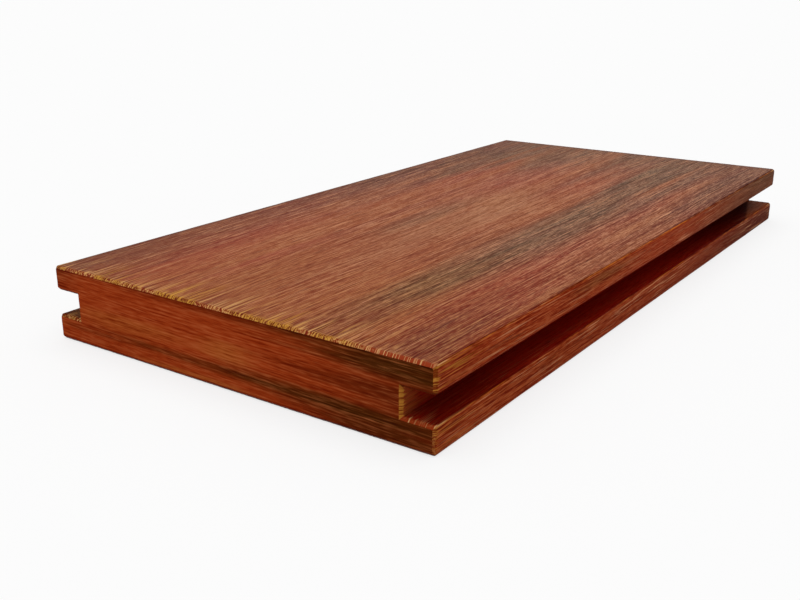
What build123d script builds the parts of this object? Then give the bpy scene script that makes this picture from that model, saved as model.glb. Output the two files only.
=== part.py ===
from build123d import *
import os

# Hardwood deck board, milled from one piece, with a square groove for hidden clips along both long edges.
# X runs along the board and its grain, Y across the face, Z up through the thickness.
# The origin is the middle of the underside, which rests on the joists. All sizes are in millimetres.

# Overall stock
board_length = 294.0
board_width = 145.0
board_thickness = 24.6

# Clip groove in each long edge, cut square. What is left under it is the lower lip
top_lip = 8.1
groove_height = 8.1
groove_depth = 10.0

# Eased corners, left by the moulder's cutters along the board and by sanding round the saw cut at each end
edge_radius = 1.2
groove_lip_radius = 1.2
end_chamfer = 0.8


def section_blank():
    """The board's plain rectangle, standing on the underside, in the plane across the grain."""
    return Pos(0, board_thickness / 2) * Rectangle(board_width, board_thickness)


def groove_cuts():
    """The two grooves' rectangles, one reaching in from each long edge."""
    middle_height = board_thickness - top_lip - groove_height / 2
    middle_offset = board_width / 2 - groove_depth / 2
    slot = Rectangle(groove_depth, groove_height)
    return [Pos(side * middle_offset, middle_height) * slot for side in (-1, 1)]


def edge_corners(section, edge):
    """The section's corners on one long edge: the lowest is an outer corner, then come the groove's two lips."""
    return section.vertices().group_by(Axis.X)[edge].sort_by(Axis.Y)


def board_section():
    """The milled section, with its groove lips and outer corners eased."""
    section = section_blank() - groove_cuts()
    long_edges = (0, -1)
    groove_lips = [edge_corners(section, edge)[1:-1] for edge in long_edges]
    section = fillet(groove_lips, groove_lip_radius)
    outer_corners = [edge_corners(section, edge)[height] for edge in long_edges for height in (0, -1)]
    return fillet(outer_corners, edge_radius)


def grooved_board():
    """The section run out to both ends from the middle, with the saw cuts' sharp edges taken off."""
    blank = extrude(Plane.YZ * board_section(), amount=board_length / 2, both=True)
    faces_along_board = blank.faces().sort_by(Axis.X)
    saw_cuts = (faces_along_board[0], faces_along_board[-1])
    return chamfer([edge for cut in saw_cuts for edge in cut.edges()], end_chamfer)


os.makedirs("parts", exist_ok=True)
board = grooved_board()
export_step(board, "parts/grooved_board.step")
print("grooved_board", board.bounding_box().size, "volume", round(board.volume), "mm3")
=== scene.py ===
"""The looks of a grooved hardwood deck board, laid out as an add-on and run as a script."""

import math

import bpy
from bpy.props import FloatProperty, FloatVectorProperty, IntProperty, PointerProperty
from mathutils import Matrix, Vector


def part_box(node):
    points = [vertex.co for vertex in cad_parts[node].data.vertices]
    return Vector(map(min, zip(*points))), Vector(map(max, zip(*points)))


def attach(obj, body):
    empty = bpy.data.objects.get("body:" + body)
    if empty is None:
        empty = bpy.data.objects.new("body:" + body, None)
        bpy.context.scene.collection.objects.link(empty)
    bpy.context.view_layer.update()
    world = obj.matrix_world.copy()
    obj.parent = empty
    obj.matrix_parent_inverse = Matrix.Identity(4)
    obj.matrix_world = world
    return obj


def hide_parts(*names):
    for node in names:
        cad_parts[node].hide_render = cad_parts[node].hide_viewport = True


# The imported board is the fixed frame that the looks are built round
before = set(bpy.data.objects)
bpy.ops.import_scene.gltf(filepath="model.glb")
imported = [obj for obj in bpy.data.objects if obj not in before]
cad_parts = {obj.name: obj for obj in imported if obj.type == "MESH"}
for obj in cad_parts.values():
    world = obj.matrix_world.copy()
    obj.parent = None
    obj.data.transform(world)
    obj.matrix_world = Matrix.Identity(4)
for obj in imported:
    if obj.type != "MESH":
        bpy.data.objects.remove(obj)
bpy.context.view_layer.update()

bl_info = {
    "name": "Grooved Deck Board",
    "version": (1, 0, 0),
    "blender": (4, 5, 0),
    "location": "3D View > Sidebar > Deck Board",
    "description": "Builds a grooved hardwood deck board and the studio stage it lies on",
    "category": "Add Mesh",
}

# The node that the finished board stands for, and the body that carries it
BOARD_NODE = "grooved_board"
BOARD_BODY = "root"

# Patterns in the wood are worked out in millimetres, and a place in metres times the last of these is in them
MM = 0.001
MM_PER_METRE = 1000.0
TO_MM = (MM_PER_METRE, MM_PER_METRE, MM_PER_METRE)

low_corner, high_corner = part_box(BOARD_NODE)
BOARD_LENGTH = high_corner[0] - low_corner[0]
BOARD_WIDTH = high_corner[1] - low_corner[1]
BOARD_THICKNESS = high_corner[2] - low_corner[2]


def light_of(value):
    """How much light a screen's value from 0 to 255 gives off, by the curve that all screens share."""
    part = value / 255
    return part / 12.92 if part <= 0.04045 else ((part + 0.055) / 1.055) ** 2.4


def seen_as(red, green, blue):
    """A colour as a screen shows it, turned into Blender's own values."""
    return (light_of(red), light_of(green), light_of(blue), 1.0)


def colour(name, description, red, green, blue):
    """A colour that a user can change."""
    return FloatVectorProperty(
        name=name, description=description, subtype="COLOR", size=4, min=0.0, max=1.0,
        default=seen_as(red, green, blue),
    )


def distance(name, description, metres):
    """A distance that a user can change."""
    return FloatProperty(
        name=name, description=description, default=metres, min=0.0, unit="LENGTH", precision=5,
    )


def portion(name, description, default):
    """A portion, from none to all, that a user can change."""
    return FloatProperty(
        name=name, description=description, default=default, min=0.0, max=1.0, subtype="FACTOR",
    )


class DeckBoardSizes(bpy.types.PropertyGroup):
    """The section, the length and the relief of the board."""

    length: distance("Length", "From saw cut to saw cut", BOARD_LENGTH)
    width: distance("Width", "Across the face", BOARD_WIDTH)
    thickness: distance("Thickness", "From the underside to the walking face", BOARD_THICKNESS)
    top_lip: distance("Top lip", "Thickness of the wood above each groove", 8.1 * MM)
    groove_height: distance("Groove height", "Height of the clip groove in each long edge", 8.1 * MM)
    groove_depth: distance("Groove depth", "How far each clip groove reaches in", 10.0 * MM)
    edge_radius: distance("Edge radius", "Radius of the eased outer corners and groove lips", 1.2 * MM)
    end_chamfer: distance("End chamfer", "Slope sanded round each saw cut", 0.8 * MM)
    relief: distance("Grain relief", "How deep the soft grain is worn below the surface", 0.07 * MM)
    face_spacing: distance("Face spacing", "Width of the mesh strips across the walking face", 0.38 * MM)
    edge_spacing: distance("Edge spacing", "Width of the mesh strips on the edges and underside", 0.85 * MM)
    row_spacing: distance("Row spacing", "Length of the mesh strips along the board", 2.3 * MM)
    corner_steps: IntProperty(name="Corner steps", description="Flats that make up each eased corner",
                              default=4, min=1, max=12)


class DeckBoardColours(bpy.types.PropertyGroup):
    """The colours of the wood, and how much it shines."""

    red_brown: colour("Red brown", "Most of the heartwood", 132, 60, 30)
    orange_brown: colour("Orange brown", "Warm, lighter bands", 144, 74, 34)
    deep_red: colour("Deep red", "Red patches in the heartwood", 141, 54, 32)
    olive_brown: colour("Olive brown", "Greenish bands", 96, 64, 26)
    # Grey brown is the wood's dark band, and also the painted sheen that greys the far end
    grey_brown: colour("Grey brown", "The dark band along the board", 82, 60, 40)
    tan: colour("Tan", "Light bands in the walking face", 156, 100, 62)
    pale_fibre: colour("Pale fibre", "Single light fibres", 220, 158, 112)
    dark_fibre: colour("Dark fibre", "What open, dark fibres leave of the colour round them", 196, 140, 76)
    pore: colour("Pore", "Single dark pores", 84, 34, 14)
    ochre: colour("Ochre", "Raw wood where an edge was sanded", 194, 138, 52)
    cream: colour("Cream", "The palest raw wood on a sanded edge", 208, 156, 100)
    ember: colour("Ember", "Dark wood between the ochre on a sanded edge", 112, 42, 10)
    edge_red: colour("Edge red", "The planed long edges", 142, 50, 18)
    edge_pale: colour("Edge pale", "Light fibres in the long edges and the grooves", 196, 112, 62)
    # Edge orange is worn finish, and also the painted highlight along the eased corners
    edge_orange: colour("Edge orange", "Where the finish is worn through on the long edges", 204, 112, 34)
    groove_red: colour("Groove red", "The milled grooves", 142, 20, 6)
    # Groove dark is painted shade in the grooves; it also darkens the far end low on the long edges
    groove_dark: colour("Groove dark", "The grooves towards the far end", 34, 3, 1)
    cut_red: colour("Saw cut red", "The sawn ends", 154, 56, 18)
    cut_olive: colour("Saw cut olive", "Dark bands in the sawn ends", 68, 34, 5)
    cut_orange: colour("Saw cut orange", "Warm streaks in the sawn ends", 176, 98, 42)
    cut_dark: colour("Saw cut dark", "Where the sawn ends run darker", 84, 26, 4)
    cut_pale: colour("Saw cut pale", "Light fibres in the sawn ends", 206, 116, 66)
    shine: portion("Shine", "How much the oiled faces mirror", 0.05)
    dull_shine: portion("Dull shine", "How much the long edges, the grooves and the saw cuts mirror", 0.008)


class DeckBoardStage(bpy.types.PropertyGroup):
    """The camera, the light and the floor."""

    camera_place: FloatVectorProperty(
        name="Camera place", description="Where the camera stands", subtype="TRANSLATION", unit="LENGTH",
        default=(-327.471 * MM, -188.151 * MM, 114.037 * MM),
    )
    camera_heading: FloatProperty(
        name="Camera heading", description="Direction the camera faces, turned from the board's length",
        subtype="ANGLE", default=math.radians(34.953),
    )
    camera_pitch: FloatProperty(
        name="Camera pitch", description="How far the camera looks up", subtype="ANGLE",
        default=math.radians(-18.785),
    )
    lens: FloatProperty(name="Lens", description="Focal length on a sensor 36 mm wide", unit="CAMERA",
                        default=43.84, min=1.0)
    sky_light: portion("Sky light", "Share of the light that comes evenly from all round", 0.5)
    key_light: portion("Key light", "Share of the light that comes softly from overhead", 0.5)
    key_softness: FloatProperty(name="Key softness", description="How wide the overhead light looks",
                                subtype="ANGLE", default=math.radians(70.0), min=0.0, max=math.pi)
    floor_colour: colour("Floor colour", "The plain pale floor", 243, 243, 243)
    floor_lift: portion("Floor lift", "How far the camera sees the floor as pure white", 0.75)


# Each step of a seed moves a noise this far along x, y and z, to other chance values
SEED_STEP = (131.7, 71.3, 43.9)


class Nodes:
    """Adds nodes to one tree. An input takes a number, a colour or another node's output."""

    def __init__(self, tree):
        self.tree = tree

    def give(self, socket, value):
        """Links an output to this socket, or sets the socket's own value."""
        if isinstance(value, bpy.types.NodeSocket):
            self.tree.links.new(value, socket)
        else:
            socket.default_value = value

    def add(self, kind, inputs=None, **settings):
        """Adds a node with these settings and these inputs, which are named or numbered."""
        node = self.tree.nodes.new(kind)
        for name, value in settings.items():
            setattr(node, name, value)
        for socket, value in (inputs or {}).items():
            self.give(node.inputs[socket], value)
        return node

    def math(self, operation, *values):
        """One step on numbers."""
        return self.add("ShaderNodeMath", dict(enumerate(values)), operation=operation).outputs[0]

    def total(self, values):
        """All of these numbers added up."""
        values = list(values)
        so_far = values[0]
        for value in values[1:]:
            so_far = self.math("ADD", so_far, value)
        return so_far

    def both(self, *shares):
        """These shares multiplied, so that all of them have to hold."""
        so_far = shares[0]
        for value in shares[1:]:
            so_far = self.math("MULTIPLY", so_far, value)
        return so_far

    def vector(self, operation, *values):
        """One step on vectors."""
        return self.add("ShaderNodeVectorMath", dict(enumerate(values)), operation=operation).outputs[0]

    def measure(self, operation, *values):
        """The length of a vector, the distance between two or their dot product."""
        return self.add("ShaderNodeVectorMath", dict(enumerate(values)), operation=operation).outputs["Value"]

    def join(self, x, y, z):
        """Three numbers as one vector."""
        return self.add("ShaderNodeCombineXYZ", {"X": x, "Y": y, "Z": z}).outputs[0]

    def split(self, vector):
        """A vector's three numbers."""
        return self.add("ShaderNodeSeparateXYZ", {"Vector": vector}).outputs

    def ramp(self, value, start, end, low=0.0, high=1.0):
        """Runs smoothly from low to high as the value goes from start to end."""
        inputs = {"Value": value, "From Min": start, "From Max": end, "To Min": low, "To Max": high}
        return self.add("ShaderNodeMapRange", inputs, interpolation_type="SMOOTHSTEP").outputs[0]

    def noise(self, place, cell, seed, detail=2.0, roughness=0.5):
        """Smooth chance values about 0.5, in cells of this size, from a place in the same unit."""
        shifted = self.vector("ADD", place, tuple(seed * step for step in SEED_STEP))
        scaled = self.vector("DIVIDE", shifted, cell)
        inputs = {"Vector": scaled, "Scale": 1.0, "Detail": detail, "Roughness": roughness}
        return self.add("ShaderNodeTexNoise", inputs).outputs[0]

    def chance(self, place, cell, seed, spread=1.0, detail=0.0):
        """Smooth chance values about nought, at most half this spread either way, in cells of this size."""
        centred = self.math("SUBTRACT", self.noise(place, cell, seed, detail), 0.5)
        return self.math("MULTIPLY", centred, spread)

    def mix(self, share, first, second, blend="MIX"):
        """The first colour with this share of the second."""
        # A Mix node has a socket of each name for every kind of value, so the ones for colours go by number
        inputs = {0: share, 6: first, 7: second}
        return self.add("ShaderNodeMix", inputs, data_type="RGBA", blend_type=blend).outputs[2]


# The grain, which the relief and the colours share. All its sizes are in millimetres

# Layers of streaks from long and broad to short and thin: length and width of their cells, seed and strength
STREAK_LAYERS = (
    (140.0, 0.46, 3, 0.5),
    (50.0, 0.38, 4, 0.65),
    (18.0, 0.29, 5, 1.0),
    (7.0, 0.25, 6, 1.1),
    (2.5, 0.22, 8, 1.0),
)

# The same for the sawn ends, where the streaks run across the board
CUT_STREAK_LAYERS = (
    (40.0, 0.6, 21, 0.9),
    (12.0, 0.42, 22, 0.9),
    (3.5, 0.34, 24, 0.9),
)

# The mesh is too coarse for the finer layers, so only these are worn into it
RELIEF_LAYERS = STREAK_LAYERS[:2]

# Grain with the first of these streak values isn't worn, and grain with the second is worn all the way down
UNWORN_STREAK = 0.2
WORN_STREAK = -0.25

# The grain leans at this slope, from not at all at the first place across the board to fully at the second
LEAN = -0.05
LEAN_STARTS = -30.0
LEAN_FULL = 50.0

# It also wanders, in long and in short waves: length, width and height of their cells, and the push's spread
SWAY_CELL = (150.0, 55.0, 55.0)
SWAY = 6.0
RIPPLE_CELL = (80.0, 12.0, 12.0)
RIPPLE = 0.6

# On the long edges the grain is pushed up or down instead of sideways. The change starts the first distance
# in from them and is full at the second
TURN_STARTS = 1.2
TURN_FULL = 0.4


def grain_place(nodes, place, half_width):
    """The place pushed sideways, or up and down on the long edges, so that the grain leans and wanders."""
    along, across = nodes.split(place)[:2]
    lean = nodes.math("MULTIPLY", along, nodes.ramp(across, LEAN_STARTS, LEAN_FULL, 0.0, LEAN))
    sway = nodes.chance(place, SWAY_CELL, 1, SWAY, detail=1.0)
    ripple = nodes.chance(place, RIPPLE_CELL, 2, RIPPLE)
    push = nodes.total((lean, sway, ripple))
    from_edge = nodes.math("SUBTRACT", half_width, nodes.math("ABSOLUTE", across))
    upwards = nodes.both(push, nodes.ramp(from_edge, TURN_STARTS, TURN_FULL))
    sideways = nodes.math("SUBTRACT", push, upwards)
    return nodes.vector("ADD", place, nodes.join(0.0, sideways, upwards))


def streaks(nodes, grain, layers=STREAK_LAYERS):
    """Light streaks above nought and dark ones below it, seldom past a half either way."""
    return nodes.total(
        nodes.chance(grain, (cell_length, cell_width, cell_width), seed, strength)
        for cell_length, cell_width, seed, strength in layers
    )


# The board's shape

# The section's corners in order. The right edge is the one with the lower y, on the right from the near end
SECTION_CORNERS = (
    ("right edge", "top"), ("right edge", "groove top"), ("right web", "groove top"),
    ("right web", "groove bottom"), ("right edge", "groove bottom"), ("right edge", "bottom"),
    ("left edge", "bottom"), ("left edge", "groove bottom"), ("left web", "groove bottom"),
    ("left web", "groove top"), ("left edge", "groove top"), ("left edge", "top"),
)

# Behind each end's chamfer comes a narrow row, which keeps the chamfer crisp
END_ROW = 0.3 * MM

# Less than this is no distance at all
HAIR = 0.01 * MM

# Faces that meet at a sharper turn than this have a hard edge between them
SHARP_TURN = math.radians(60.0)

# A face whose normal has more than the first of these along the board is a saw cut, and one whose normal has
# more than the second across it is milled
LOOKS_ALONG = 0.9
LOOKS_ASIDE = 0.5


def by_index(nodes, values):
    """The value whose place in the list is the point's own number."""
    index = nodes.add("GeometryNodeInputIndex").outputs[0]
    switch = nodes.add("GeometryNodeIndexSwitch", {"Index": index}, data_type="FLOAT")
    while len(switch.index_switch_items) < len(values):
        switch.index_switch_items.new()
    for place, value in enumerate(values):
        nodes.give(switch.inputs[place + 1], value)
    return switch.outputs[0]


def curve_through(nodes, count, place, closed=False):
    """A curve of straight runs through this many points, placed by their number."""
    points = nodes.add("GeometryNodeMeshLine", {"Count": count}).outputs[0]
    placed = nodes.add("GeometryNodeSetPosition", {"Geometry": points, "Position": place}).outputs[0]
    curve = nodes.add("GeometryNodeMeshToCurve", {"Mesh": placed}).outputs[0]
    return nodes.add("GeometryNodeSetSplineCyclic", {"Geometry": curve, "Cyclic": closed}).outputs[0]


def section_levels(nodes, size):
    """How far out the section and the web between its grooves reach, and how high the grooves lie."""
    half_width = nodes.math("DIVIDE", size["width"], 2.0)
    groove_top = nodes.math("SUBTRACT", size["thickness"], size["top_lip"])
    return {
        "edge": half_width, "web": nodes.math("SUBTRACT", half_width, size["groove_depth"]),
        "top": size["thickness"], "groove top": groove_top,
        "groove bottom": nodes.math("SUBTRACT", groove_top, size["groove_height"]), "bottom": 0.0,
    }


def section_curve(nodes, size, level):
    """The milled section, drawn with the board's width as its x and the board's height as its y."""
    across = {
        "right edge": nodes.math("MULTIPLY", level["edge"], -1.0), "left edge": level["edge"],
        "right web": nodes.math("MULTIPLY", level["web"], -1.0), "left web": level["web"],
    }
    place = nodes.join(
        by_index(nodes, [across[side] for side, height in SECTION_CORNERS]),
        by_index(nodes, [level[height] for side, height in SECTION_CORNERS]),
        0.0,
    )
    corners = curve_through(nodes, len(SECTION_CORNERS), place, closed=True)
    radius = by_index(
        nodes, [0.0 if "web" in side else size["edge_radius"] for side, height in SECTION_CORNERS])
    inputs = {"Curve": corners, "Count": size["corner_steps"], "Radius": radius}
    return nodes.add("GeometryNodeFilletCurve", inputs, mode="POLY").outputs[0]


def place_and_next(nodes, curve):
    """The place of each of a curve's points and that of the point after it."""
    size_of_curve = nodes.add("GeometryNodeAttributeDomainSize", {"Geometry": curve}, component="CURVE")
    index = nodes.add("GeometryNodeInputIndex").outputs[0]
    place = nodes.add("GeometryNodeInputPosition").outputs[0]
    following = nodes.math("MODULO", nodes.math("ADD", index, 1.0), size_of_curve.outputs["Point Count"])
    next_place = nodes.add("GeometryNodeFieldAtIndex", {"Index": following, "Value": place},
                           data_type="FLOAT_VECTOR", domain="POINT").outputs[0]
    return place, next_place


def divided(nodes, curve, spacing):
    """The curve with points added, so that no run is longer than the spacing that its two ends ask for."""
    place, next_place = place_and_next(nodes, curve)
    run = nodes.measure("DISTANCE", place, next_place)
    strips = nodes.math("CEIL", nodes.math("DIVIDE", run, spacing(place, next_place)))
    cuts = nodes.math("SUBTRACT", strips, 1.0)
    return nodes.add("GeometryNodeSubdivideCurve", {"Curve": curve, "Cuts": cuts}).outputs[0]


def outward_step(nodes, section):
    """The way out of the section at each of its points, so long that it moves both runs there out by one."""
    place, next_place = place_and_next(nodes, section)
    tangent = nodes.add("GeometryNodeInputTangent").outputs[0]
    ahead = nodes.vector("NORMALIZE", nodes.vector("SUBTRACT", next_place, place))
    stretch = nodes.math("DIVIDE", 1.0, nodes.measure("DOT_PRODUCT", tangent, ahead))
    turned = nodes.split(tangent)
    return nodes.join(0.0, nodes.math("MULTIPLY", turned[1], stretch), nodes.both(turned[0], stretch, -1.0))


def wear(nodes, grain):
    """How far the grain has worn down at a place in it, from 0 for hard grain to 1 for soft."""
    return nodes.ramp(streaks(nodes, grain, RELIEF_LAYERS), UNWORN_STREAK, WORN_STREAK)


# The map that the wood's pictures are baked through. Its left half is the walking face, stretched so that the
# fine grain gets many pixels across it. Its right half is the rest of the section, unrolled, with the saw
# cuts below it
BAKE_MAP = "OFBake"

# The map's parts, as left, bottom, width and height in shares of it, and what is kept clear along their rims
CUT_SHARE = 0.17
FACE_PART = (0.0, 0.0, 0.5, 1.0)
REST_PART = (0.5, CUT_SHARE, 0.5, 1.0 - CUT_SHARE)
NEAR_CUT_PART = (0.5, 0.0, 0.25, CUT_SHARE)
FAR_CUT_PART = (0.75, 0.0, 0.25, CUT_SHARE)
CLEAR_RIM = 0.004

# Each end's last stretch takes up this share of the map down the board, because its rim has the finest detail
END_STRETCH = 15.0 * MM
END_SHARE = 0.125

# Each grooved side takes up this share of the unrolled part, and the underside the rest
SIDE_SHARE = 0.28


def unrolled(nodes, value, stops, shares):
    """How far a value has come, from nought to one, where each run between stops takes up its own share."""
    return nodes.total(
        nodes.add("ShaderNodeMapRange", {
            "Value": value, "From Min": start, "From Max": end, "To Max": share,
        }).outputs[0]
        for start, end, share in zip(stops, stops[1:], shares)
    )


def on_map(nodes, part, right, up):
    """A place on the bake map, this far right and up in one of its parts."""
    left, bottom, width, height = part
    return nodes.join(
        nodes.math("MULTIPLY_ADD", right, width - 2 * CLEAR_RIM, left + CLEAR_RIM),
        nodes.math("MULTIPLY_ADD", up, height - 2 * CLEAR_RIM, bottom + CLEAR_RIM),
        0.0,
    )


def down_board(nodes, along, half_length):
    """How far down the board a place is, from nought to one, with wider shares for the two ends."""
    far_rows = (nodes.math("SUBTRACT", half_length, END_STRETCH), half_length)
    near_rows = (nodes.math("MULTIPLY", row, -1.0) for row in reversed(far_rows))
    return unrolled(nodes, along, (*near_rows, *far_rows), (END_SHARE, 1.0 - 2 * END_SHARE, END_SHARE))


def round_board(nodes, run, perimeter, flat_run):
    """How far round the board a place is, from nought to one: down one side, under the board and up again."""
    side_run = nodes.math("MULTIPLY_ADD", perimeter, 0.5, nodes.math("MULTIPLY", flat_run, -1.0))
    underside_end = nodes.math("ADD", side_run, flat_run)
    stops = (0.0, side_run, underside_end, nodes.math("ADD", underside_end, side_run))
    return unrolled(nodes, run, stops, (SIDE_SHARE, 1.0 - 2 * SIDE_SHARE, SIDE_SHARE))


def share_of(nodes, value, whole):
    """How far a place is through a whole that lies about nought, from nought to one."""
    return nodes.math("ADD", nodes.math("DIVIDE", value, whole), 0.5)


def mean_on_face(nodes, value):
    """A value's mean over the corners of each face."""
    mean = nodes.add("GeometryNodeFieldOnDomain", {"Value": value}, data_type="FLOAT", domain="FACE")
    return mean.outputs[0]


def choose(nodes, where, then, otherwise):
    """The first place where the value holds, and the second elsewhere."""
    return nodes.add("GeometryNodeSwitch", {0: where, 1: otherwise, 2: then}, input_type="VECTOR").outputs[0]


def bake_place(nodes, size, place, run, perimeter):
    """Where each corner of a face lies on the bake map, from its place and its run round the section."""
    along, across, up = nodes.split(place)
    half_length = nodes.math("DIVIDE", size["length"], 2.0)
    flat_run = nodes.math("MULTIPLY_ADD", size["edge_radius"], -2.0, size["width"])
    down = down_board(nodes, along, half_length)
    rest = on_map(nodes, REST_PART, down, round_board(nodes, run, perimeter, flat_run))
    face = on_map(nodes, FACE_PART, down, share_of(nodes, across, flat_run))
    nearly_top = nodes.math("SUBTRACT", size["thickness"], HAIR)
    on_face = nodes.math("GREATER_THAN", mean_on_face(nodes, up), nearly_top)

    cut_across = share_of(nodes, across, size["width"])
    cut_up = nodes.math("DIVIDE", up, size["thickness"])
    near_cut, far_cut = (on_map(nodes, part, cut_across, cut_up) for part in (NEAR_CUT_PART, FAR_CUT_PART))
    cut = choose(nodes, nodes.math("LESS_THAN", along, 0.0), near_cut, far_cut)
    off_middle = mean_on_face(nodes, nodes.math("ABSOLUTE", along))
    on_cut = nodes.math("GREATER_THAN", off_middle, nodes.math("SUBTRACT", half_length, HAIR))
    return choose(nodes, on_cut, cut, choose(nodes, on_face, face, rest))


def is_milled(nodes, size, level, place, facing):
    """One for a face on a long edge or in a groove, else nought."""
    across, up = nodes.split(place)[1:]
    looks_aside = nodes.math("GREATER_THAN", nodes.math("ABSOLUTE", nodes.split(facing)[1]), LOOKS_ASIDE)
    past_web = nodes.math("GREATER_THAN", nodes.math("ABSOLUTE", across), level["web"])
    lowest = nodes.math("SUBTRACT", level["groove bottom"], size["edge_radius"])
    highest = nodes.math("ADD", level["groove top"], size["edge_radius"])
    at_height = nodes.both(nodes.math("GREATER_THAN", up, lowest), nodes.math("LESS_THAN", up, highest))
    return nodes.math("MAXIMUM", looks_aside, nodes.both(past_web, at_height))


def board_inputs(tree):
    """Gives the tree an input for each of the board's sizes, and its output. The inputs come back by name."""
    for name in DeckBoardSizes.__annotations__:
        if name == "corner_steps":
            tree.interface.new_socket(name, in_out="INPUT", socket_type="NodeSocketInt")
        else:
            socket = tree.interface.new_socket(name, in_out="INPUT", socket_type="NodeSocketFloat")
            socket.subtype = "DISTANCE"
    tree.interface.new_socket("Board", in_out="OUTPUT", socket_type="NodeSocketGeometry")
    given = Nodes(tree).add("NodeGroupInput")
    return {socket.name: socket for socket in given.outputs if socket.name}


def section_in_strips(nodes, size, level):
    """The section with its runs divided, finely on the walking face and more coarsely elsewhere."""
    def spacing(place, next_place):
        lower = nodes.math("MINIMUM", nodes.split(place)[1], nodes.split(next_place)[1])
        nearly_top = nodes.math("SUBTRACT", size["thickness"], size["face_spacing"])
        on_face = nodes.math("GREATER_THAN", lower, nearly_top)
        finer = nodes.math("SUBTRACT", size["face_spacing"], size["edge_spacing"])
        return nodes.math("MULTIPLY_ADD", on_face, finer, size["edge_spacing"])

    return divided(nodes, section_curve(nodes, size, level), spacing)


def with_memory(nodes, section):
    """The section, and what its points keep as it is swept: their place, the way out there and their run."""
    keep = nodes.add("GeometryNodeCaptureAttribute", {"Geometry": section}, domain="POINT")
    kept = {
        "Place": ("VECTOR", nodes.add("GeometryNodeInputPosition").outputs[0]),
        "Outward": ("VECTOR", outward_step(nodes, section)),
        "Run": ("FLOAT", nodes.add("GeometryNodeSplineParameter").outputs["Length"]),
    }
    for name, (kind, value) in kept.items():
        keep.capture_items.new(kind, name)
        nodes.give(keep.inputs[name], value)
    return keep.outputs


def middle_line(nodes, size, half_length, chamfer_start):
    """The line from saw cut to saw cut that the section is swept along, with a point for each of its rows."""
    far_rows = [nodes.math("SUBTRACT", chamfer_start, END_ROW), chamfer_start, half_length]
    near_rows = [nodes.math("MULTIPLY", row, -1.0) for row in reversed(far_rows)]
    rows = near_rows + far_rows
    line = curve_through(nodes, len(rows), nodes.join(by_index(nodes, rows), 0.0, 0.0))
    return divided(nodes, line, lambda place, next_place: size["row_spacing"])


def worn_and_chamfered(nodes, size, sweep, place, outward, chamfer_start):
    """The swept board with its soft grain worn down, and with its last rows drawn in to make the chamfers."""
    half_width = nodes.math("MULTIPLY", size["width"], MM_PER_METRE / 2)
    grain = grain_place(nodes, nodes.vector("MULTIPLY", place, TO_MM), half_width)
    past_chamfer = nodes.math("GREATER_THAN", nodes.math("ABSOLUTE", nodes.split(place)[0]), chamfer_start)
    inset = nodes.math("MULTIPLY", past_chamfer, size["end_chamfer"])
    depth = nodes.math("MULTIPLY_ADD", wear(nodes, grain), size["relief"], inset)
    step = nodes.add("ShaderNodeVectorMath", {0: outward, "Scale": depth}, operation="SCALE").outputs[0]
    moved = {"Geometry": sweep, "Position": nodes.vector("SUBTRACT", place, step)}
    return nodes.add("GeometryNodeSetPosition", moved).outputs[0]


def shaded(nodes, board, is_cut):
    """The board shaded smoothly round its eased corners, with flat saw cuts and hard inner corners."""
    smooth = {"Geometry": board, "Shade Smooth": nodes.math("SUBTRACT", 1.0, is_cut)}
    smooth_faces = nodes.add("GeometryNodeSetShadeSmooth", smooth, domain="FACE").outputs[0]
    turn = nodes.add("GeometryNodeInputMeshEdgeAngle").outputs["Unsigned Angle"]
    is_sharp = nodes.math("GREATER_THAN", turn, SHARP_TURN)
    hard = {"Geometry": smooth_faces, "Selection": is_sharp, "Shade Smooth": False}
    return nodes.add("GeometryNodeSetShadeSmooth", hard, domain="EDGE").outputs[0]


def board_tree(planed, milled, sawn):
    """The nodes that sweep the section along the board, chamfer its ends, wear its grain and finish it."""
    tree = bpy.data.node_groups.new("deck board", "GeometryNodeTree")
    size = board_inputs(tree)
    nodes = Nodes(tree)
    level = section_levels(nodes, size)
    section = section_in_strips(nodes, size, level)
    profile = with_memory(nodes, section)
    half_length = nodes.math("DIVIDE", size["length"], 2.0)
    chamfer_start = nodes.math("SUBTRACT", half_length, size["end_chamfer"])
    sweep = nodes.add("GeometryNodeCurveToMesh", {
        "Curve": middle_line(nodes, size, half_length, chamfer_start),
        "Profile Curve": profile["Geometry"], "Fill Caps": True,
    }).outputs[0]

    along = nodes.split(nodes.add("GeometryNodeInputPosition").outputs[0])[0]
    on_section = nodes.split(profile["Place"])
    place = nodes.join(along, on_section[0], on_section[1])
    board = worn_and_chamfered(nodes, size, sweep, place, profile["Outward"], chamfer_start)
    facing = nodes.add("GeometryNodeInputNormal").outputs[0]
    is_cut = nodes.math("GREATER_THAN", nodes.math("ABSOLUTE", nodes.split(facing)[0]), LOOKS_ALONG)
    perimeter = nodes.add("GeometryNodeCurveLength", {"Curve": section}).outputs[0]
    board = nodes.add("GeometryNodeStoreNamedAttribute", {
        "Geometry": shaded(nodes, board, is_cut), "Name": BAKE_MAP,
        "Value": bake_place(nodes, size, place, profile["Run"], perimeter),
    }, data_type="FLOAT2", domain="CORNER").outputs[0]

    board = nodes.add("GeometryNodeRealizeInstances", {"Geometry": board}).outputs[0]
    finishes = ((planed, True), (milled, is_milled(nodes, size, level, place, facing)), (sawn, is_cut))
    for material, where in finishes:
        inputs = {"Geometry": board, "Selection": where, "Material": material}
        board = nodes.add("GeometryNodeSetMaterial", inputs).outputs[0]
    nodes.add("NodeGroupOutput", {0: board})
    return tree


# The wood's finish. All its sizes are in millimetres

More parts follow.
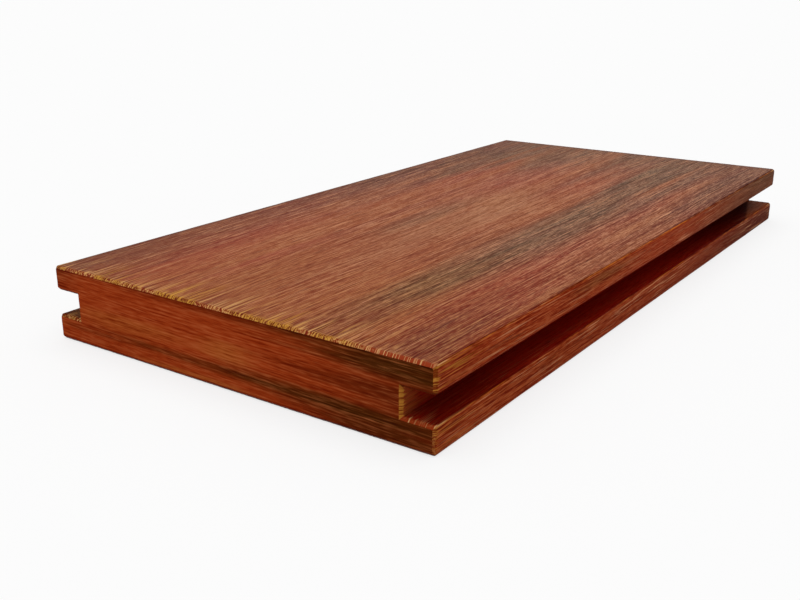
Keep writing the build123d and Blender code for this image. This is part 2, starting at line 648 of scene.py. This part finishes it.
# Bands and patches: colour, middle, half size and strength. First on the walking face, along and across it
# from its middle, then on the long edges, along and up, then on the saw cuts, across and up
FACE_PATCHES = (
    ("tan", -5.0, -2.0, 80.0, 22.0, 0.7),
    ("orange_brown", -112.0, 10.0, 75.0, 16.0, 0.9),
    ("orange_brown", -95.0, -15.0, 75.0, 10.0, 0.6),
    ("deep_red", -90.0, 45.0, 75.0, 14.0, 0.7),
    ("deep_red", -112.0, 24.0, 45.0, 6.0, 0.6),
    ("deep_red", -75.0, -56.0, 80.0, 12.0, 0.6),
    ("orange_brown", -35.0, -66.0, 70.0, 6.0, 0.7),
    ("deep_red", 45.0, -52.0, 60.0, 9.0, 0.6),
    ("deep_red", 55.0, 38.0, 60.0, 10.0, 0.5),
    ("deep_red", 65.0, 14.0, 50.0, 20.0, 0.6),
    ("deep_red", 60.0, -14.0, 45.0, 12.0, 0.5),
    ("grey_brown", -10.0, -36.0, 120.0, 16.0, 0.9),
    ("grey_brown", 100.0, -34.0, 80.0, 14.0, 0.8),
    ("olive_brown", -115.0, -36.0, 70.0, 13.0, 0.85),
    ("olive_brown", 92.0, 52.0, 60.0, 16.0, 0.7),
    ("olive_brown", 112.0, 30.0, 45.0, 12.0, 0.5),
    ("grey_brown", 75.0, 74.0, 130.0, 24.0, 0.9),
    ("olive_brown", -118.0, 68.0, 60.0, 18.0, 0.75),
    ("pore", -50.0, 68.0, 300.0, 32.0, 0.8),
    ("ember", -125.0, 66.0, 90.0, 22.0, 0.75),
    ("edge_red", -110.0, 58.0, 120.0, 22.0, 0.4),
    ("olive_brown", 120.0, 74.0, 75.0, 34.0, 0.9),
    ("grey_brown", 135.0, 66.0, 60.0, 30.0, 0.5),
    ("ember", -60.0, -74.0, 190.0, 26.0, 0.6),
    ("ochre", -128.0, -70.0, 45.0, 2.5, 0.35),
    ("grey_brown", 105.0, -62.0, 60.0, 11.0, 0.6),
    ("grey_brown", -25.0, 11.0, 40.0, 7.0, 0.4),
    # Painted sheen: this grey brown over the far end stands in for the grazing reflection that greys it
    ("grey_brown", 165.0, 0.0, 110.0, 160.0, 0.8),
    ("edge_red", -135.0, -64.0, 90.0, 22.0, 0.9),
    ("edge_red", -120.0, 38.0, 100.0, 22.0, 0.45),
    ("edge_red", -140.0, -36.0, 40.0, 14.0, 0.4),
    ("pore", -145.0, -62.0, 70.0, 18.0, 0.6),
    ("pore", 100.0, -66.0, 120.0, 22.0, 0.8),
    ("pore", 115.0, 70.0, 110.0, 26.0, 0.75),
    ("grey_brown", -130.0, 66.0, 100.0, 24.0, 0.3),
)
EDGE_PATCHES = (
    ("orange_brown", -70.0, 6.0, 110.0, 3.0, 0.4),
    # Painted sheen: this grey brown at the far end of the long edges stands in for grazing reflection
    ("grey_brown", 130.0, 24.0, 110.0, 16.0, 0.8),
    ("cut_dark", 140.0, 3.0, 140.0, 9.0, 0.6),
    ("groove_dark", 140.0, 3.0, 160.0, 9.0, 0.6),
    ("edge_red", -40.0, 3.0, 150.0, 8.0, 0.5),
    ("ember", 40.0, 2.0, 200.0, 7.0, 0.3),
    ("olive_brown", -50.0, 22.0, 30.0, 3.0, 0.5),
)
CUT_PATCHES = (
    ("cut_dark", -85.0, 14.0, 75.0, 30.0, 0.8),
    ("cut_dark", 72.0, 22.0, 16.0, 6.0, 0.5),
    ("cut_dark", -60.0, 2.0, 60.0, 6.0, 0.4),
    ("cut_dark", 0.0, 24.0, 75.0, 3.0, 0.5),
    ("cut_olive", -20.0, 6.2, 95.0, 2.8, 0.85),
    ("cut_olive", -62.0, 22.0, 50.0, 5.0, 0.95),
    ("cut_orange", -2.0, 12.0, 14.0, 3.6, 0.6),
    ("cut_orange", 40.0, 11.0, 34.0, 3.6, 0.4),
    ("cut_olive", -60.0, 2.0, 26.0, 3.0, 0.5),
    ("cut_orange", 10.0, 1.6, 30.0, 1.2, 0.5),
)


# The long edges' own wood starts the first distance in from them and is full at the second
EDGE_STARTS = 0.55
EDGE_FULL = 0.15

# For each step out to a groove's mouth, the light at its far end reaches this many steps further in along it
GROOVE_LIGHT_SLANT = 3.8

# Dark streaks are this many times as strong as light ones
DARK_STREAKS = 3.0

# The saw cuts' streaks slope this much across the board, and are this strong
CUT_SLOPE = -0.02
CUT_CONTRAST = 0.54

# How deep the finest grain looks, which the mesh is too coarse for
FINE_RELIEF = 0.04 * MM


class Spot:
    """A spot on the board: its place in millimetres, how far in it is and which way its surface faces."""

    def __init__(self, nodes, sizes):
        tells = nodes.add("ShaderNodeTexCoord").outputs
        self.place = nodes.vector("MULTIPLY", tells["Object"], TO_MM)
        self.x, self.y, self.z = nodes.split(self.place)
        self.half_width = sizes.width / 2 * MM_PER_METRE
        self.thickness = sizes.thickness * MM_PER_METRE
        half_length = sizes.length / 2 * MM_PER_METRE
        self.from_end = nodes.math("SUBTRACT", half_length, nodes.math("ABSOLUTE", self.x))
        self.from_edge = nodes.math("SUBTRACT", self.half_width, nodes.math("ABSOLUTE", self.y))

        self.groove_depth = sizes.groove_depth * MM_PER_METRE
        self.groove_reach = sizes.groove_height / 2 * MM_PER_METRE
        groove_top = self.thickness - sizes.top_lip * MM_PER_METRE
        self.groove_floor = groove_top - sizes.groove_height * MM_PER_METRE
        middle = (groove_top + self.groove_floor) / 2
        self.from_groove_middle = nodes.math("ABSOLUTE", nodes.math("SUBTRACT", self.z, middle))

        self.looks_up = nodes.split(tells["Normal"])[2]
        looks_out, looks_up_or_down = nodes.split(nodes.vector("ABSOLUTE", tells["Normal"]))[1:]
        self.flat = nodes.ramp(nodes.math("SUBTRACT", looks_up_or_down, looks_out), -0.1, 0.1)
        self.upright = nodes.math("SUBTRACT", 1.0, self.flat)


def patched(nodes, colours, body, spot_on_face, ragged, patches, share=1.0):
    """The body colour with this share of long soft patches, whose rims are ragged along the grain."""
    for name, along, across, half_length, half_width, strength in patches:
        off = nodes.vector("SUBTRACT", spot_on_face, (along, across, 0.0))
        off = nodes.vector("DIVIDE", off, (half_length, half_width, 1.0))
        reach = nodes.math("ADD", nodes.measure("LENGTH", off), ragged)
        amount = nodes.math("MULTIPLY", nodes.ramp(reach, 1.15, 0.1, 0.0, strength), share)
        body = nodes.mix(amount, body, getattr(colours, name))
    return body


def principled(name):
    """A new material with its nodes and the shader among them."""
    material = bpy.data.materials.new(name)
    material.use_nodes = True
    return material, Nodes(material.node_tree), material.node_tree.nodes["Principled BSDF"]


def heartwood(nodes, colours, spot, grain):
    """The two broad faces: bands of red and orange brown with fine lines, and the walking face's patches."""
    bands = nodes.noise(grain, (150.0, 7.0, 7.0), 7, detail=1.0)
    lines = nodes.noise(grain, (110.0, 1.6, 1.6), 8, detail=1.0)
    body = nodes.mix(nodes.ramp(bands, 0.38, 0.62), colours.red_brown, colours.orange_brown)
    ragged = nodes.total((
        nodes.math("MULTIPLY_ADD", bands, 1.2, -0.6), nodes.math("MULTIPLY_ADD", lines, 0.3, -0.15),
    ))
    on_top = nodes.ramp(spot.z, spot.thickness * 0.4, spot.thickness * 0.6)
    body = patched(nodes, colours, body, nodes.join(spot.x, spot.y, 0.0), ragged, FACE_PATCHES, on_top)

    hue = nodes.noise(grain, (45.0, 6.0, 6.0), 10, detail=1.0)
    body = nodes.mix(nodes.ramp(hue, 0.5, 0.68, 0.0, 0.2), body, colours.orange_brown)
    body = nodes.mix(nodes.ramp(hue, 0.5, 0.32, 0.0, 0.16), body, colours.deep_red)
    body = nodes.mix(nodes.ramp(lines, 0.52, 0.7, 0.0, 0.1), body, colours.tan)
    return nodes.mix(nodes.ramp(lines, 0.48, 0.3, 0.0, 0.1), body, colours.dark_fibre, "MULTIPLY")


def edge_wood(nodes, colours, spot, grain):
    """The planed long edges above and below the grooves."""
    bands = nodes.noise(grain, (160.0, 3.0, 3.0), 9, detail=3.0)
    ragged = nodes.math("MULTIPLY_ADD", bands, 0.9, -0.45)
    body = nodes.mix(nodes.ramp(bands, 0.5, 0.75, 0.0, 0.5), colours.edge_red, colours.orange_brown)
    return patched(nodes, colours, body, nodes.join(spot.x, spot.z, 0.0), ragged, EDGE_PATCHES)


def groove_wood(nodes, colours, spot):
    """The milled grooves, with painted shade that darkens them at both ends and towards the mouth, and
    painted light where the light gets in.
    """
    # Painted shade: the grooves darken towards the far end, and a little towards the near end
    far_shade = nodes.ramp(spot.x, 0.0, 140.0, 0.0, 0.9)
    near_end = nodes.ramp(spot.x, -90.0, -130.0, 0.0, 0.25)
    body = nodes.mix(nodes.math("MAXIMUM", far_shade, near_end), colours.groove_red, colours.groove_dark)
    # Painted shade: the grooves darken towards their mouths
    mouth = nodes.ramp(spot.from_edge, 6.0, 2.5, 0.0, 0.33)
    body = nodes.mix(mouth, body, colours.groove_dark)
    left_groove = nodes.ramp(spot.y, -10.0, 10.0, 0.0, 0.7)
    body = nodes.mix(left_groove, body, colours.olive_brown)

    # Painted light: light falling in at the far end at a slant, and on the groove walls by the ends
    slanted = nodes.math("MULTIPLY_ADD", spot.from_edge, -GROOVE_LIGHT_SLANT, spot.x)
    lit_far_end = nodes.ramp(slanted, 103.0, 110.0, 0.0, 0.75)
    on_wall = nodes.ramp(spot.from_edge, spot.groove_depth - 0.8, spot.groove_depth - 0.3)
    lit_wall = nodes.both(nodes.ramp(spot.from_end, 9.0, 2.0, 0.0, 0.6), on_wall)
    return nodes.mix(nodes.math("MAXIMUM", lit_far_end, lit_wall), body, colours.orange_brown)


def with_fibres(nodes, colours, body, grain, amount):
    """The colour with single dark pores and single light fibres, both thin and crisp."""
    pores = nodes.noise(grain, (12.0, 0.34, 0.34), 18)
    body = nodes.mix(nodes.both(nodes.ramp(pores, 0.6, 0.7), amount), body, colours.pore)
    crowd = nodes.ramp(nodes.noise(grain, (80.0, 14.0, 14.0), 20), 0.42, 0.6, 0.3, 1.0)
    fibres = nodes.noise(grain, (22.0, 0.4, 0.4), 19)
    return nodes.mix(nodes.both(nodes.ramp(fibres, 0.59, 0.69), amount, crowd), body, colours.pale_fibre)


def streaked(nodes, colours, body, streak, contrast, pale):
    """The body colour with its light streaks, which go towards the pale colour, and its dark ones."""
    strong = nodes.math("MULTIPLY", streak, contrast)
    body = nodes.mix(nodes.math("MAXIMUM", strong, 0.0), body, pale)
    dark = nodes.math("MAXIMUM", nodes.math("MULTIPLY", strong, -DARK_STREAKS), 0.0)
    return nodes.mix(dark, body, colours.dark_fibre, "MULTIPLY")


def streak_contrast(nodes, spot, on_edge, in_groove):
    """How strong the streaks are: strongest along the right edge, and weaker in the grooves."""
    return nodes.total((
        nodes.ramp(spot.y, -60.0, 60.0, 0.9, 0.6),
        nodes.ramp(spot.x, 20.0, 147.0, 0.0, -0.15),
        nodes.both(on_edge, nodes.ramp(spot.x, -120.0, 20.0, -0.1, -0.5)),
        nodes.math("MULTIPLY", in_groove, -0.25),
    ))


def pale_streaks(nodes, colours, spot, on_edge, in_groove):
    """The colour that light streaks go towards: ochre at the near end, and darker on the milled sides."""
    pale = nodes.mix(nodes.ramp(spot.x, -30.0, -140.0, 0.0, 0.6), colours.pale_fibre, colours.ochre)
    pale = nodes.mix(on_edge, pale, colours.edge_pale)
    return nodes.mix(in_groove, pale, colours.edge_red)


def with_worn_corners(nodes, colours, body, spot):
    """The colour with the lines along the upper corners and the lower lips: dark, and orange where the finish
    is worn, which is also a painted highlight along the eased corners.
    """
    off_face = nodes.math("ABSOLUTE", nodes.math("SUBTRACT", spot.z, spot.thickness))
    off_floor = nodes.math("ABSOLUTE", nodes.math("SUBTRACT", spot.z, spot.groove_floor))
    off_level = nodes.math("MINIMUM", off_face, off_floor)
    broken = nodes.noise(spot.place, (16.0, 1.5, 1.5), 12, detail=3.0, roughness=0.7)
    dark_line = nodes.both(nodes.ramp(spot.from_edge, 1.3, 0.7), nodes.ramp(off_level, 0.5, 0.2),
                           nodes.ramp(broken, 0.35, 0.55, 0.3, 0.9))
    body = nodes.mix(dark_line, body, colours.dark_fibre, "MULTIPLY")
    body = with_dark_rims(nodes, colours, body, spot, off_level)

    at_end = nodes.ramp(spot.from_end, 8.0, 4.0)
    # The orange line on the eased corners is worn finish and also a painted highlight
    worn_and_highlight_colour = nodes.mix(at_end, colours.edge_orange, colours.cream)
    from_corner = nodes.measure("LENGTH", nodes.join(spot.from_edge, off_level, 0.0))
    unbroken = nodes.math("MAXIMUM", nodes.ramp(broken, 0.48, 0.62, 0.0, 0.8), at_end)
    return nodes.mix(nodes.both(nodes.ramp(from_corner, 0.62, 0.5), unbroken), body, worn_and_highlight_colour)


def with_dark_rims(nodes, colours, body, spot, off_level):
    """The colour with a narrow dark band along the left edge and along the far end."""
    left_edge = nodes.both(nodes.ramp(spot.y, -10.0, 10.0), nodes.ramp(spot.from_edge, 3.2, 1.4))
    far_end = nodes.both(nodes.ramp(spot.x, -10.0, 10.0), nodes.ramp(spot.from_end, 4.2, 1.8))
    band = nodes.both(nodes.math("MAXIMUM", left_edge, far_end), nodes.ramp(off_level, 0.9, 0.4), 0.65)
    return nodes.mix(band, body, colours.pore)


def with_raw_rims(nodes, colours, body, spot, grain, shows, redder, light_wood):
    """The colour with the sanded rims of the saw cuts, striped on top and at the sides of the near one."""
    across_stripe = nodes.chance(grain, (40.0, 0.48, 40.0), 13, detail=1.0)
    upward_stripe = nodes.chance(grain, (40.0, 40.0, 0.4), 13, detail=1.0)
    stripe = nodes.total((nodes.both(spot.flat, across_stripe), nodes.both(spot.upright, upward_stripe)))
    deep_in = nodes.ramp(spot.from_edge, spot.groove_depth * 0.5, spot.groove_depth * 0.8)
    lighter = nodes.math("MULTIPLY", nodes.both(spot.upright, deep_in), -0.15)
    darkest = nodes.math("ADD", nodes.ramp(redder, 0.0, 1.0, -0.03, 0.04), lighter)
    lightest = nodes.math("ADD", nodes.ramp(redder, 0.0, 1.0, 0.1, 0.16), lighter)
    dark_wood = nodes.mix(redder, colours.ember, colours.edge_red)
    rim_wood = nodes.mix(nodes.ramp(stripe, darkest, lightest), dark_wood, light_wood)

    # Painted shade: the rim faces that look down take the saw cut's dark colour; at the far end the rim is
    # left dark
    plain = nodes.math("MAXIMUM", nodes.ramp(spot.looks_up, -0.1, -0.5), nodes.ramp(spot.x, -40.0, 40.0))
    rim_wood = nodes.mix(plain, rim_wood, colours.cut_dark)
    left_corner = nodes.ramp(spot.y, 62.0, 71.0, 0.0, 0.75)
    rim_wood = nodes.mix(left_corner, rim_wood, colours.ember)
    rim_depth = nodes.ramp(stripe, -0.12, 0.15, 0.9, 2.6)
    on_rim = nodes.ramp(spot.from_end, rim_depth, 0.7, 0.0, 0.95)
    return nodes.mix(nodes.both(on_rim, shows), body, rim_wood)


def with_raw_fibres(nodes, colours, body, spot, grain, shows, on_side, light_wood):
    """The colour with light fibres that reach in from the near saw cut, and dark gaps between them."""
    tongues = nodes.ramp(nodes.noise(grain, (60.0, 5.0, 5.0), 17), 0.4, 0.6, 4.0, 22.0)
    reach = nodes.math("MULTIPLY_ADD", on_side, 12.0, tongues)
    left_of_rim = nodes.ramp(spot.y, -60.0, -40.0, nodes.math("MULTIPLY", on_side, 0.7), 1.0)
    near_end = nodes.both(nodes.ramp(spot.from_end, reach, 0.8, 0.0, 0.9), nodes.ramp(spot.x, 40.0, -40.0),
                          left_of_rim, shows, nodes.ramp(spot.looks_up, -0.5, -0.1))
    thin = nodes.noise(grain, (26.0, 0.46, 0.46), 16)
    gaps = nodes.both(near_end, nodes.ramp(thin, 0.48, 0.36))
    body = nodes.mix(gaps, body, colours.dark_fibre, "MULTIPLY")
    fewer_on_side = nodes.ramp(on_side, 0.0, 0.5, 0.5, 0.54)
    fibres = nodes.both(near_end, nodes.ramp(thin, fewer_on_side, 0.63))
    return nodes.mix(fibres, body, light_wood)


def with_raw_ends(nodes, colours, body, spot, grain, on_side):
    """The colour with raw wood at the saw cuts, redder in patches and at the right, and fainter low down."""
    shows = nodes.math("MAXIMUM", spot.flat, nodes.ramp(spot.z, 4.0, 9.0, 0.3, 1.0))
    patches = nodes.ramp(nodes.noise(spot.place, (60.0, 9.0, 9.0), 15), 0.45, 0.6, 0.0, 0.7)
    redder = nodes.both(spot.flat, nodes.math("MAXIMUM", patches, nodes.ramp(spot.y, -40.0, -55.0)))
    light_wood = nodes.mix(redder, colours.ochre, colours.cream)
    light_wood = nodes.mix(nodes.ramp(spot.flat, 0.0, 1.0, 0.35, 0.0), light_wood, colours.edge_red)
    body = with_raw_rims(nodes, colours, body, spot, grain, shows, redder, light_wood)
    return with_raw_fibres(nodes, colours, body, spot, grain, shows, on_side, light_wood)


def wood_along_grain(name, colours, sizes, shine):
    """The planed faces, the milled grooves and the rounded edges, with the grain along the board."""
    material, nodes, shader = principled(name)
    spot = Spot(nodes, sizes)
    grain = grain_place(nodes, spot.place, spot.half_width)
    streak = streaks(nodes, grain)
    on_edge = nodes.ramp(spot.from_edge, EDGE_STARTS, EDGE_FULL)
    by_groove = nodes.ramp(spot.from_groove_middle, spot.groove_reach + 0.7, spot.groove_reach + 0.2)
    in_groove = nodes.both(nodes.ramp(spot.from_edge, EDGE_FULL, EDGE_STARTS), by_groove)

    body = heartwood(nodes, colours, spot, grain)
    body = nodes.mix(on_edge, body, edge_wood(nodes, colours, spot, grain))
    body = nodes.mix(in_groove, body, groove_wood(nodes, colours, spot))
    contrast = streak_contrast(nodes, spot, on_edge, in_groove)
    pale = pale_streaks(nodes, colours, spot, on_edge, in_groove)
    body = streaked(nodes, colours, body, streak, contrast, pale)
    body = with_fibres(nodes, colours, body, grain, nodes.ramp(in_groove, 0.0, 1.0, 0.6, 0.1))
    body = with_worn_corners(nodes, colours, body, spot)
    on_side = nodes.math("MULTIPLY_ADD", in_groove, 0.2, on_edge)
    body = with_raw_ends(nodes, colours, body, spot, grain, on_side)

    nodes.give(shader.inputs["Base Color"], body)
    nodes.give(shader.inputs["Specular IOR Level"], shine)
    nodes.give(shader.inputs["Roughness"], nodes.ramp(streak, -0.3, 0.3, 0.62, 0.48))
    fine = nodes.noise(grain, (7.0, 0.3, 0.3), 14, detail=1.0)
    bump = nodes.add("ShaderNodeBump", {"Strength": 0.5, "Distance": FINE_RELIEF, "Height": fine})
    nodes.give(shader.inputs["Normal"], bump.outputs[0])
    return material


def planed_wood(colours, sizes):
    """The walking face and the underside, which are planed and oiled."""
    return wood_along_grain("planed hardwood", colours, sizes, colours.shine)


def milled_wood(colours, sizes):
    """The long edges and the grooves, which the moulder leaves duller."""
    return wood_along_grain("milled hardwood", colours, sizes, colours.dull_shine)


def sawn_wood(colours, sizes):
    """The saw cuts at the two ends, with fine streaks across the board."""
    material, nodes, shader = principled("sawn hardwood")
    spot = Spot(nodes, sizes)
    tilted = nodes.join(spot.x, spot.y, nodes.math("MULTIPLY_ADD", spot.y, CUT_SLOPE, spot.z))
    streak = nodes.total(
        nodes.chance(tilted, (3.0, cell_length, cell_width), seed, strength)
        for cell_length, cell_width, seed, strength in CUT_STREAK_LAYERS
    )
    bands = nodes.noise(tilted, (30.0, 60.0, 3.0), 23, detail=3.0)
    ragged = nodes.math("MULTIPLY_ADD", bands, 1.2, -0.6)
    body = patched(nodes, colours, colours.cut_red, nodes.join(spot.y, spot.z, 0.0), ragged, CUT_PATCHES)
    body = streaked(nodes, colours, body, streak, CUT_CONTRAST, colours.cut_pale)
    hairs = nodes.noise(tilted, (3.0, 16.0, 0.32), 25)
    body = nodes.mix(nodes.ramp(hairs, 0.62, 0.76, 0.0, 0.35), body, colours.cut_pale)
    # Painted shade: a thin dark line along the cut's top and bottom rims, under the chamfers
    from_rim = nodes.math("MINIMUM", spot.z, nodes.math("SUBTRACT", spot.thickness, spot.z))
    body = nodes.mix(nodes.ramp(from_rim, 1.5, 1.0, 0.0, 0.8), body, colours.dark_fibre, "MULTIPLY")
    nodes.give(shader.inputs["Base Color"], body)
    nodes.give(shader.inputs["Specular IOR Level"], colours.dull_shine)
    nodes.give(shader.inputs["Roughness"], nodes.ramp(streak, -0.3, 0.3, 0.75, 0.6))
    return material


def as_plain_mesh(board):
    """Turns what the board's nodes make into its own mesh, and takes the nodes off it."""
    seen = board.evaluated_get(bpy.context.evaluated_depsgraph_get())
    mesh = bpy.data.meshes.new_from_object(seen)
    board.modifiers.clear()
    board.data = mesh
    mesh.name = board.name


class DECKBOARD_OT_board(bpy.types.Operator):
    """Makes the grooved board with its worn grain and its wood"""

    bl_idname = "deckboard.board"
    bl_label = "Make Board"

    def execute(self, context):
        sizes = context.scene.deck_board_sizes
        colours = context.scene.deck_board_colours
        board = bpy.data.objects.new("deck_board", bpy.data.meshes.new("deck_board"))
        context.scene.collection.objects.link(board)
        modifier = board.modifiers.new("board", "NODES")
        finishes = [wood(colours, sizes) for wood in (planed_wood, milled_wood, sawn_wood)]
        modifier.node_group = board_tree(*finishes)
        for socket in modifier.node_group.interface.items_tree:
            if socket.in_out == "INPUT":
                modifier[socket.identifier] = getattr(sizes, socket.name)
        as_plain_mesh(board)
        if not board.data.polygons:
            raise RuntimeError("the board's nodes made no faces")
        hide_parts(BOARD_NODE)
        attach(board, BOARD_BODY)
        return {"FINISHED"}


# The stage

# How far the floor reaches each way, in metres, which is past the top of the camera's view
FLOOR_HALF_SIZE = 8.0

# The camera sees nothing nearer than this
NEAREST_SEEN = 10.0 * MM

# A lamp this strong lights a white floor to white from straight above
FULL_SUN = math.pi


class DECKBOARD_OT_stage(bpy.types.Operator):
    """Sets up the camera, the soft light and the pale floor"""

    bl_idname = "deckboard.stage"
    bl_label = "Make Stage"

    def execute(self, context):
        stage = context.scene.deck_board_stage
        self.set_camera(context.scene, stage)
        self.set_light(context.scene, stage)
        self.lay_floor(context.scene, stage)
        context.scene.view_settings.view_transform = "Standard"
        return {"FINISHED"}

    def set_camera(self, scene, stage):
        """Stands the camera where the board is seen from."""
        camera = bpy.data.objects.new("camera", bpy.data.cameras.new("camera"))
        camera.data.lens = stage.lens
        camera.data.clip_start = NEAREST_SEEN
        camera.location = stage.camera_place
        quarter_turn = math.pi / 2
        camera.rotation_euler = (quarter_turn + stage.camera_pitch, 0.0, stage.camera_heading - quarter_turn)
        scene.collection.objects.link(camera)
        scene.camera = camera

    def in_sight(self, nodes):
        """One for a ray that the camera sees, straight or by way of a shiny or clear surface, else nought."""
        path = nodes.add("ShaderNodeLightPath").outputs
        seen = nodes.math("MAXIMUM", path["Is Camera Ray"], path["Is Glossy Ray"])
        return nodes.math("MAXIMUM", seen, path["Is Transmission Ray"])

    def set_light(self, scene, stage):
        """Lights the board evenly from all round, and softly from above."""
        world = bpy.data.worlds.new("studio")
        world.use_nodes = True
        nodes = Nodes(world.node_tree)
        background = world.node_tree.nodes["Background"]
        nodes.give(background.inputs["Color"], (1.0, 1.0, 1.0, 1.0))
        strength = nodes.ramp(self.in_sight(nodes), 0.0, 1.0, stage.sky_light, 1.0)
        nodes.give(background.inputs["Strength"], strength)
        scene.world = world
        lamp = bpy.data.objects.new("key lamp", bpy.data.lights.new("key lamp", "SUN"))
        lamp.data.energy = stage.key_light * FULL_SUN
        lamp.data.angle = stage.key_softness
        scene.collection.objects.link(lamp)

    def lay_floor(self, scene, stage):
        """Lays a pale floor under the board, which keeps the board's soft shadow."""
        half = FLOOR_HALF_SIZE
        corners = [(-half, -half, 0.0), (half, -half, 0.0), (half, half, 0.0), (-half, half, 0.0)]
        mesh = bpy.data.meshes.new("floor")
        mesh.from_pydata(corners, [], [(0, 1, 2, 3)])
        floor = bpy.data.objects.new("floor", mesh)
        material, nodes, shader = principled("pale floor")
        nodes.give(shader.inputs["Base Color"], stage.floor_colour)
        nodes.give(shader.inputs["Roughness"], 1.0)
        nodes.give(shader.inputs["Specular IOR Level"], 0.0)
        white = nodes.add("ShaderNodeEmission", {"Color": (1.0, 1.0, 1.0, 1.0), "Strength": 1.0}).outputs[0]
        lift = nodes.math("MULTIPLY", self.in_sight(nodes), stage.floor_lift)
        lifted = nodes.add("ShaderNodeMixShader", {0: lift, 1: shader.outputs[0], 2: white}).outputs[0]
        nodes.give(material.node_tree.nodes["Material Output"].inputs["Surface"], lifted)
        mesh.materials.append(material)
        scene.collection.objects.link(floor)


class DECKBOARD_PT_panel(bpy.types.Panel):
    """Lists the steps that make the board and its stage"""

    bl_idname = "DECKBOARD_PT_panel"
    bl_label = "Deck Board"
    bl_space_type = "VIEW_3D"
    bl_region_type = "UI"
    bl_category = "Deck Board"

    def draw(self, context):
        for operator in OPERATORS:
            self.layout.operator(operator.bl_idname)
        for group in (context.scene.deck_board_sizes, context.scene.deck_board_colours,
                      context.scene.deck_board_stage):
            for name in group.__annotations__:
                self.layout.prop(group, name)


OPERATORS = (DECKBOARD_OT_stage, DECKBOARD_OT_board)
SETTINGS = {
    "deck_board_sizes": DeckBoardSizes,
    "deck_board_colours": DeckBoardColours,
    "deck_board_stage": DeckBoardStage,
}


def register():
    """Adds the settings, the operators and the panel to Blender."""
    for item in (*SETTINGS.values(), *OPERATORS, DECKBOARD_PT_panel):
        bpy.utils.register_class(item)
    for name, group in SETTINGS.items():
        setattr(bpy.types.Scene, name, PointerProperty(type=group))


def unregister():
    """Takes the settings, the operators and the panel out of Blender."""
    for name in SETTINGS:
        delattr(bpy.types.Scene, name)
    for item in (DECKBOARD_PT_panel, *reversed(OPERATORS), *reversed(SETTINGS.values())):
        bpy.utils.unregister_class(item)


def main():
    """Makes the stage and the board."""
    register()
    bpy.ops.deckboard.stage()
    bpy.ops.deckboard.board()


if __name__ == "__main__":
    main()
